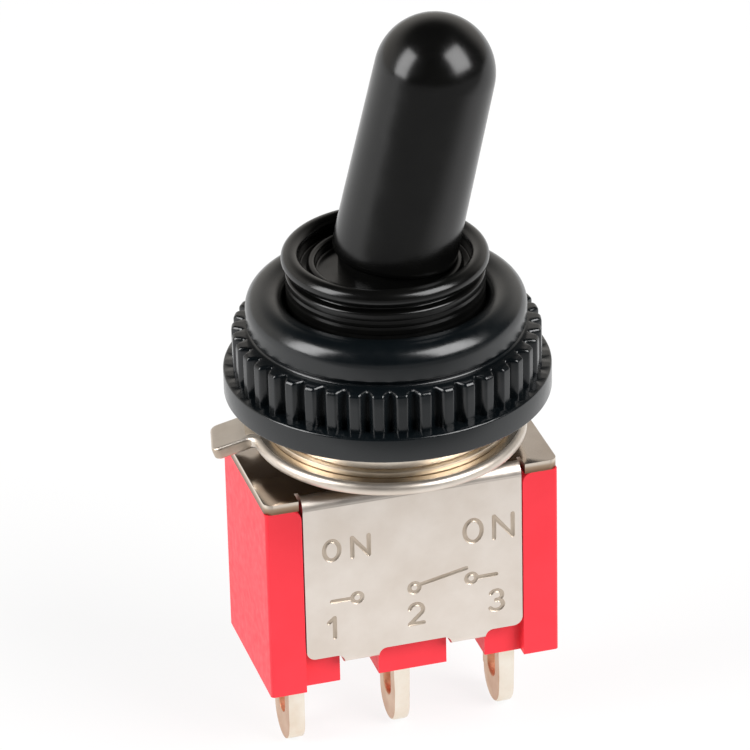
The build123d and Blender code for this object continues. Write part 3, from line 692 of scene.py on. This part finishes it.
def metal_parts():
    """Base, frame, washers, insert and solder lugs."""
    bevelled("housing", "base_moulding", BASE_EDGE * MM, "red_plastic")
    saddle = bevelled("frame", "saddle_frame", FRAME_EDGE * MM, "nickel_plate",
                      first=round_bends, spare=in_relief)
    stamp(saddle)
    dress_plate(saddle)
    lock_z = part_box("locating_washer")[1].z / MM
    keyed_washer(lock_z - WASHER_T)
    toothed_washer(lock_z)
    insert_collar(lock_z + LOCK_T)
    for number in (1, 2, 3):
        lug = bevelled(f"terminal_{number}", f"solder_lug_{number}", SOLDER_EDGE * MM, "tinned_brass",
                       segments=3, below=SOLDER_TOP_Z * MM)
        dress_sides(lug)


def round_bends(bm):
    """Cuts the few facets of each leg's bend finer and sets them on the true arc."""
    half_depth = max(vertex.co.y for vertex in bm.verts)
    for side in (-1, 1):
        axis = Vector((0, side * (half_depth - BEND_R * MM), -BEND_R * MM))

        def inside(vertex):
            return (side * (vertex.co.y - axis.y) > -SAME and vertex.co.z - axis.z > -SAME
                    and abs(vertex.co.x) < (LEG_HALF + SLACK) * MM)

        for step in range(1, BEND_STEPS):
            turn = math.pi / 2 * step / BEND_STEPS
            faces = [face for face in bm.faces if all(inside(vertex) for vertex in face.verts)]
            edges = {edge for face in faces for edge in face.edges}
            verts = {vertex for face in faces for vertex in face.verts}
            bmesh.ops.bisect_plane(bm, geom=[*faces, *edges, *verts], dist=SAME / 10, plane_co=axis,
                                   plane_no=(0, side * math.cos(turn), -math.sin(turn)))
        for vertex in bm.verts:
            spoke = Vector((0, vertex.co.y - axis.y, vertex.co.z - axis.z))
            if inside(vertex) and spoke.length > 10 * SAME:
                radius = BEND_R if spoke.length > (BEND_R - SHEET_T / 2) * MM else BEND_R - SHEET_T
                fitted = axis + spoke.normalized() * radius * MM
                vertex.co = (vertex.co.x, fitted.y, fitted.z)


def in_relief(edge):
    """Whether an edge lies in one of the narrow cuts beside the legs."""
    middle = (edge.verts[0].co + edge.verts[1].co) / 2
    return (LEG_HALF - FRAME_EDGE < abs(middle.x) / MM < LEG_HALF + RELIEF_WIDTH
            and middle.z > -(SHEET_T + SLACK) * MM)


def dress_plate(saddle):
    """Gives the top plate its brighter surface and its punched edges theirs."""
    for name in ("top_plate", "cut_edge"):
        saddle.data.materials.append(MATERIALS[name])
    top_slot, edge_slot = len(saddle.data.materials) - 2, len(saddle.data.materials) - 1
    underside = -(SHEET_T + 2 * SLACK) * MM
    for face in saddle.data.polygons:
        over_leg = abs(face.center.x) < (LEG_HALF + 2 * FRAME_EDGE) * MM and abs(face.normal.y) > SLOPING
        if face.normal.z > FLAT and face.center.z > -2 * SLACK * MM:
            face.material_index = top_slot
        elif abs(face.normal.z) < STANDING and face.center.z > underside and not over_leg:
            face.material_index = edge_slot


def dress_sides(lug):
    """Gives a solder lug's wide faces a painted reflection in a tan tone, and its eye the tone of a
    punched wall.
    """
    for name in ("lug_side_reflection", "eye_wall"):
        lug.data.materials.append(MATERIALS[name])
    tip = min(vertex.co.z for vertex in lug.data.vertices)
    for face in lug.data.polygons:
        # the wide faces take the painted reflection
        if abs(face.normal.x) > ACROSS:
            face.material_index = 1
        elif (abs(face.center.y) < EYE_HALF * MM
              and tip + EYE_FOOT * MM < face.center.z < tip + EYE_TOP * MM):
            face.material_index = 2


def keyed_washer(base_z):
    """Stamped washer with a rounded rim, an inner key and an outer lug bent down."""
    plan = washer_plan()
    turns = [math.atan2(y, x) for x, y in plan]
    bore = [Vector(on_circle(0, 0, key_reach(turn), turn)) for turn in turns]
    rim = [Vector(place) for place in plan]
    edges = [washer_edge(point) for point in rim]
    flat = inset_outline(rim, edges)
    bm = bmesh.new()
    rings = []

    def ring(points, heights):
        rings.append([bm.verts.new(place_washer(point, height, base_z))
                      for point, height in zip(points, heights)])

    under, upper = [0] * len(rim), [WASHER_T] * len(rim)
    ring(bore, under)
    ring(bore, upper)
    for share in FLAT_SHARES:
        ring([near.lerp(far, share) for near, far in zip(bore, flat)], upper)
    for turn in reversed(quarter_turns(EDGE_STEPS)):
        ring(inset_outline(rim, [edge * (1 - math.cos(turn)) for edge in edges]),
             [WASHER_T - edge * (1 - math.sin(turn)) for edge in edges])
    for turn in quarter_turns(EDGE_STEPS):
        ring(inset_outline(rim, [edge * (1 - math.cos(turn)) for edge in edges]),
             [edge * (1 - math.sin(turn)) for edge in edges])
    for share in reversed(FLAT_SHARES):
        ring([near.lerp(far, share) for near, far in zip(bore, flat)], under)
    for low, high in zip(rings, rings[1:] + rings[:1]):
        skin(bm, low, high)
    made = finished("keyed_washer", bm, MATERIALS["washer_plate"], angle=40.0)
    dress_washer(made, base_z)
    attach(made, "base")
    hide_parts("locating_washer")


def dress_washer(made, base_z):
    """Gives the washer's underside a painted shade, and its top and the lug's cut sides their own
    surfaces.
    """
    for name in ("washer_underside_shade", "washer_top", "stamped_plate"):
        made.data.materials.append(MATERIALS[name])
    for face in made.data.polygons:
        reach = face.center.xy.length
        # the underside takes the painted shade
        if face.normal.z < -NEARLY_FLAT and face.center.z < (base_z + 2 * SLACK) * MM:
            face.material_index = 1
        elif face.normal.z > FLAT and reach < (WASHER_R - WASHER_EDGE) * MM:
            face.material_index = 2
        elif abs(face.normal.z) < SLOPING and reach > (WASHER_R + LUG_EDGE) * MM:
            face.material_index = 3


def washer_plan():
    """Points (x, y) of the washer's outline before it is bent, with the lug along +X."""
    lug_end = rounded([(WASHER_R, LUG_HALF, 0), (LUG_TIP, LUG_HALF, LUG_CORNER_R), (LUG_TIP, 0, 0)],
                      closed=False, steps=8)
    root_y = LUG_HALF + LUG_ROOT_R
    root_x = math.sqrt((WASHER_R + LUG_ROOT_R) ** 2 - root_y ** 2)
    meet = math.atan2(root_y, root_x)
    hollow = []
    for step in range(HOLLOW_STEPS + 1):
        turn = -math.pi / 2 - (math.pi / 2 - meet) * step / HOLLOW_STEPS
        hollow.append(on_circle(root_x, root_y, LUG_ROOT_R, turn))
    half = [(LUG_TIP, LUG_HALF * share) for share in TIP_SHARES]
    half += list(reversed(lug_end[1:-1]))
    run_from, run_to = half[-1][0], hollow[0][0]
    half += [(run_from + (run_to - run_from) * step / LUG_STEPS, LUG_HALF)
             for step in range(1, LUG_STEPS)]
    half += hollow
    half += [on_circle(0, 0, WASHER_R, meet + (math.pi - meet) * step / RIM_STEPS)
             for step in range(1, RIM_STEPS + 1)]
    return half + [(x, -y) for x, y in reversed(half[1:-1])]


def key_reach(turn):
    """Radius of the washer's bore at an angle, which steps in at the key."""
    across = abs(math.sin(turn)) * WASHER_BORE_R
    if math.cos(turn) > 0 and across < KEY_HALF:
        return KEY_TIP / math.cos(turn)
    return WASHER_BORE_R


def washer_edge(point):
    """Rounding of the washer's edge at a point of its outline: full at the rim, small at the lug."""
    share = min(max((point.length - WASHER_R) / LUG_ROOT_R, 0), 1)
    return WASHER_EDGE + (LUG_EDGE - WASHER_EDGE) * share


def inset_outline(points, insets):
    """The outline with each point moved inwards by its own distance."""
    count = len(points)
    moved = []
    for index, point in enumerate(points):
        along = (points[(index + 1) % count] - points[index - 1]).normalized()
        moved.append(point + Vector((-along.y, along.x)) * insets[index])
    return moved


def place_washer(point, height, base_z):
    """Point of the flat washer, bent down at the lug and turned to its key; metres."""
    x, z = point.x, height - WASHER_T
    past = x - LUG_BEND_FROM
    beside = LUG_HALF + 2 * LUG_ROOT_R - abs(point.y)
    if past > 0 and beside > 0:
        bend = math.radians(LUG_BEND) * min(beside / (2 * LUG_ROOT_R), 1)
        turn = bend * min(past / LUG_BEND_OVER, 1)
        if bend > LEAST_BEND:
            radius = LUG_BEND_OVER / bend
            straight = max(past - LUG_BEND_OVER, 0)
            x = LUG_BEND_FROM + radius * math.sin(turn) + straight * math.cos(turn) + z * math.sin(turn)
            z = -radius * (1 - math.cos(turn)) - straight * math.sin(turn) + z * math.cos(turn)
    spin = math.radians(KEY_AZIMUTH)
    return Vector((x * math.cos(spin) - point.y * math.sin(spin),
                   x * math.sin(spin) + point.y * math.cos(spin), z + WASHER_T + base_z)) * MM


def toothed_washer(base_z):
    """Thin lock washer with inner teeth and a rounded rim."""
    top = base_z + LOCK_T
    outline = rounded([(WASHER_BORE_R, base_z, 0), (LOCK_R, base_z, LOCK_EDGE), (LOCK_R, top, LOCK_EDGE),
                       (WASHER_BORE_R, top, 0)], closed=False)
    pitch = 360 / LOCK_TEETH
    flanks = (LOCK_TOOTH_HALF, LOCK_TOOTH_HALF + LOCK_FLANK)
    stations = [*flanks, *(pitch - flank for flank in flanks), *LOCK_STATIONS]
    turns = sorted(math.radians(pitch * tooth + station)
                   for tooth in range(LOCK_TEETH) for station in stations)

    def gap(radius, z, turn):
        off = abs((math.degrees(turn) + pitch / 2) % pitch - pitch / 2)
        return LOCK_RIM_R if radius < LOCK_RIM_R and off > LOCK_TOOTH_HALF + LOCK_FLANK / 2 else radius

    made = lathe("toothed_washer", outline, MATERIALS["lock_plate"], turns, shape=gap, angle=40.0)
    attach(made, "base")
    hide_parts("lock_washer")


def insert_collar(base_z):
    """Metal nut in the foot of the boot nut."""
    outline = rounded([(INSERT_BORE_R, base_z, 0), (COLLAR_R, base_z, COLLAR_EDGE),
                       (COLLAR_R, NUT_BASE_Z, 0), (HUB_R, NUT_BASE_Z, 0), (HUB_R, INSERT_TOP_Z, 0),
                       (INSERT_BORE_R, INSERT_TOP_Z, 0)])
    made = lathe("insert_collar", outline, MATERIALS["plated_brass"], 160, angle=40.0)
    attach(made, "base")
    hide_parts("nut_insert")


# ---------------------------------------------------------------- plunger's spring


def plunger_coil():
    """Spring between the lever's arm and the plunger: a copy of the CAD's spring that moves with the
    spring's body.
    """
    node = frame["nodes"]["plunger_spring"]
    coil = bpy.data.objects.new("plunger_coil", node.data.copy())
    bpy.context.scene.collection.objects.link(coil)
    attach(coil, node["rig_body"])
    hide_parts("plunger_spring")
    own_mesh(coil)


# ---------------------------------------------------------------- stamped marks

MARK_WIDTH = 0.2 * MM         # of a stamped stroke
MARK_DEPTH = 0.045 * MM
ROD_SIDES = 12
ROD_CAPS = (30, 60)           # degrees of the rings that round off a rod's ends
FRONT = -0.9999               # a face whose normal reaches this lies in the front plane
MARK_ROWS = (                 # text, left end, foot, height and pitch, in millimetres
    ("ON", -3.88, -3.05, 0.92, 1.22), ("ON", 2.23, -3.3, 1.05, 1.3),
    ("1", -3.85, -6.8, 0.95, 0), ("2", -0.25, -6.8, 0.95, 0), ("3", 3.3, -6.8, 0.95, 0))
SIGN_Z = -5.05                # changeover sign: height, distance of the outer poles, size of a pole
SIGN_REACH = 2.5
POLE_R = 0.22


def arc(x, z, half_x, half_z, start, end):
    """Points along an ellipse between two angles in degrees."""
    steps = max(6, int(abs(end - start) / 12))
    turns = [math.radians(start + (end - start) * step / steps) for step in range(steps + 1)]
    return [(x + half_x * math.cos(turn), z + half_z * math.sin(turn)) for turn in turns]


SIGNS = {                     # strokes of each sign, in a cell one unit high with its foot at 0
    "O": [arc(0.36, 0.5, 0.36, 0.5, 90, 450)],
    "N": [[(0, 0), (0, 1)], [(0, 1), (0.78, 0)], [(0.78, 0), (0.78, 1)]],
    "1": [[(0.1, 0.78), (0.36, 1)], [(0.36, 1), (0.36, 0)]],
    "2": [arc(0.33, 0.7, 0.31, 0.3, 165, -35) + [(0.02, 0)], [(0.02, 0), (0.66, 0)]],
    "3": [arc(0.3, 0.75, 0.28, 0.25, 150, -90), arc(0.3, 0.26, 0.32, 0.26, 90, -150)],
}


def marks(face_y):
    """Strokes stamped in the front leg: ON at both ends, a changeover sign, and terminal numbers."""
    strokes = []
    for text, left, foot, height, pitch in MARK_ROWS:
        for place, sign in enumerate(text):
            for stroke in SIGNS[sign]:
                strokes.append([(left + place * pitch + x * height, foot + z * height)
                                for x, z in stroke])
    for x in (-SIGN_REACH, 0, SIGN_REACH):
        strokes.append(arc(x, SIGN_Z, POLE_R, POLE_R, 0, 360))
    for side in (-1, 1):
        strokes.append([(side * (SIGN_REACH + POLE_R * reach), SIGN_Z) for reach in (1, 5)])
    strokes.append([(POLE_R, SIGN_Z + POLE_R / 2), (SIGN_REACH - POLE_R, SIGN_Z + 2.4 * POLE_R)])
    bm = bmesh.new()
    for stroke in strokes:
        rod(bm, [Vector((x * MM, face_y, z * MM)) for x, z in stroke])
    return bm


def rod(bm, path):
    """Round-ended rod along a path that lies in front of a face, deep enough in it to stamp a stroke."""
    radius = (MARK_WIDTH ** 2 / 4 + MARK_DEPTH ** 2) / (2 * MARK_DEPTH)
    lift = Vector((0, -(radius - MARK_DEPTH), 0))
    if (path[0] - path[-1]).length < SAME:
        hoop(bm, path[:-1], radius, lift)
        return
    ahead = [(b - a).normalized() for a, b in zip(path, path[1:])]
    tangents = [ahead[0]] + [(a + b).normalized() for a, b in zip(ahead, ahead[1:])] + [ahead[-1]]
    stops = [(point, tangent, 1.0) for point, tangent in zip(path, tangents)]
    for lean in ROD_CAPS:
        shift, share = radius * math.sin(math.radians(lean)), math.cos(math.radians(lean))
        stops.insert(0, (path[0] - tangents[0] * shift, tangents[0], share))
        stops.append((path[-1] + tangents[-1] * shift, tangents[-1], share))
    rings = [[bm.verts.new(path[0] - tangents[0] * radius + lift)]]
    for point, tangent, share in stops:
        rings.append(rod_ring(bm, point + lift, tangent, radius, share))
    rings.append([bm.verts.new(path[-1] + tangents[-1] * radius + lift)])
    for low, high in zip(rings, rings[1:]):
        skin(bm, low, high)


def hoop(bm, path, radius, lift):
    """Closed rod along a loop."""
    rings = []
    for index, point in enumerate(path):
        ahead = (path[(index + 1) % len(path)] - path[index - 1]).normalized()
        rings.append(rod_ring(bm, point + lift, ahead, radius))
    for low, high in zip(rings, rings[1:] + rings[:1]):
        skin(bm, low, high)


def rod_ring(bm, centre, tangent, radius, share=1.0):
    """Ring of vertices round a rod, across its direction; share makes it smaller."""
    side = tangent.cross(Vector((0, 1, 0)))
    turns = [math.radians(360 / ROD_SIDES * step) for step in range(ROD_SIDES)]
    spokes = [side * math.cos(turn) + Vector((0, math.sin(turn), 0)) for turn in turns]
    return [bm.verts.new(centre + spoke * radius * share) for spoke in spokes]


def stamp(plate):
    """Cuts the marks into the front of the frame."""
    face_y = min(vertex.co.y for vertex in plate.data.vertices)
    cutter = finished("stamp_tool", marks(face_y), MATERIALS["stamped_plate"])
    cut = plate.modifiers.new("stamp", "BOOLEAN")
    cut.operation, cut.solver, cut.object, cut.use_self = "DIFFERENCE", "EXACT", cutter, True
    cut.material_mode = "TRANSFER"
    settle(plate)
    bpy.data.objects.remove(cutter)
    bm = bmesh.new()
    bm.from_mesh(plate.data)
    for face in bm.faces:
        face.smooth = face.normal.y > FRONT or face.material_index > 0
    for edge in bm.edges:
        faces = edge.link_faces
        edge.smooth = (len(faces) == 2 and edge.calc_face_angle() < math.radians(SHARP)
                       and faces[0].material_index == faces[1].material_index)
    bm.to_mesh(plate.data)
    bm.free()


# ---------------------------------------------------------------- stage

def floor(height):
    """Pale table lit from below, which ends in the dark a little in front of the switch."""
    bm = bmesh.new()
    bmesh.ops.create_grid(bm, x_segments=4, y_segments=4, size=FLOOR_HALF)
    bmesh.ops.translate(bm, vec=(0, 0, height), verts=bm.verts)
    surface = Surface("floor", srgb(110, 110, 110), 0.9)
    glow = map_range(surface.tree, surface.part("Y"), -FLOOR_END, -FLOOR_START, FLOOR_DARK, FLOOR_GLOW)
    surface.feed(glow, "Emission Strength")
    surface.set(Emission_Color=(1, 1, 1, 1), Specular_IOR_Level=0.0)
    made = finished("floor", bm, surface.material)


def direction(azimuth, elevation):
    """Direction from the switch, in degrees; azimuth 0 is on the -Y side, 90 on the +X side."""
    turn, lift = math.radians(azimuth), math.radians(elevation)
    return Vector((math.sin(turn) * math.cos(lift), -math.cos(turn) * math.cos(lift), math.sin(lift)))


def softbox(name, azimuth, elevation, size, power):
    """Rectangular area light aimed at the switch's middle."""
    data = bpy.data.lights.new(name, "AREA")
    data.shape = "RECTANGLE"
    data.size, data.size_y = size
    data.energy = power
    back = direction(azimuth, elevation)
    made = bpy.data.objects.new(name, data)
    made.location = back * WINDOW_DISTANCE
    made.rotation_euler = (-back).to_track_quat("-Z", "Y").to_euler()
    bpy.context.scene.collection.objects.link(made)


def camera():
    """Camera at an azimuth, elevation and roll round the switch."""
    back = direction(CAMERA_AZIMUTH, CAMERA_ELEVATION)
    turn = math.radians(CAMERA_AZIMUTH)
    right = Vector((math.cos(turn), math.sin(turn), 0))
    up = back.cross(right)
    roll = math.radians(CAMERA_ROLL)
    right, up = right * math.cos(roll) - up * math.sin(roll), up * math.cos(roll) + right * math.sin(roll)
    data = bpy.data.cameras.new("camera")
    data.lens = CAMERA_LENS
    data.clip_start, data.clip_end = 0.01, 20
    made = bpy.data.objects.new("camera", data)
    place = Matrix((right, up, back)).transposed().to_4x4()
    place.translation = right * AIM_RIGHT + up * AIM_UP + back * CAMERA_DISTANCE
    made.matrix_world = place
    bpy.context.scene.collection.objects.link(made)
    bpy.context.scene.camera = made


def world():
    """Pale backdrop low behind the switch, dark room in front of it and above."""
    made = bpy.data.worlds.new("studio")
    made.use_nodes = True
    tree = made.node_tree
    parts = tree.nodes.new("ShaderNodeSeparateXYZ")
    tree.links.new(tree.nodes.new("ShaderNodeTexCoord").outputs["Generated"], parts.inputs["Vector"])
    behind = map_range(tree, parts.outputs["Y"], 0.0, BACKDROP_DEEP, 0.0, BACKDROP_LIGHT, "SMOOTHSTEP")
    low = map_range(tree, parts.outputs["Z"], BACKDROP_LOW, BACKDROP_HIGH, 1.0, 0.0, "SMOOTHSTEP")
    shared = tree.nodes.new("ShaderNodeMath")
    shared.operation = "MULTIPLY_ADD"
    tree.links.new(behind, shared.inputs[0])
    tree.links.new(low, shared.inputs[1])
    shared.inputs[2].default_value = ROOM_LIGHT
    background = tree.nodes["Background"]
    background.inputs["Color"].default_value = BACKDROP_COLOUR
    tree.links.new(shared.outputs["Value"], background.inputs["Strength"])
    bpy.context.scene.world = made


dress_nodes()
boot_nut()
boot_collar()
boot_finger()
metal_parts()
plunger_coil()
floor(cad_box[0].z)
camera()
world()
softbox("left_window", -86, 28, (0.24, 0.4), 2.4)
softbox("right_window", 43, 38, (0.32, 0.38), 3.0)
bpy.context.scene.view_settings.view_transform = "Standard"
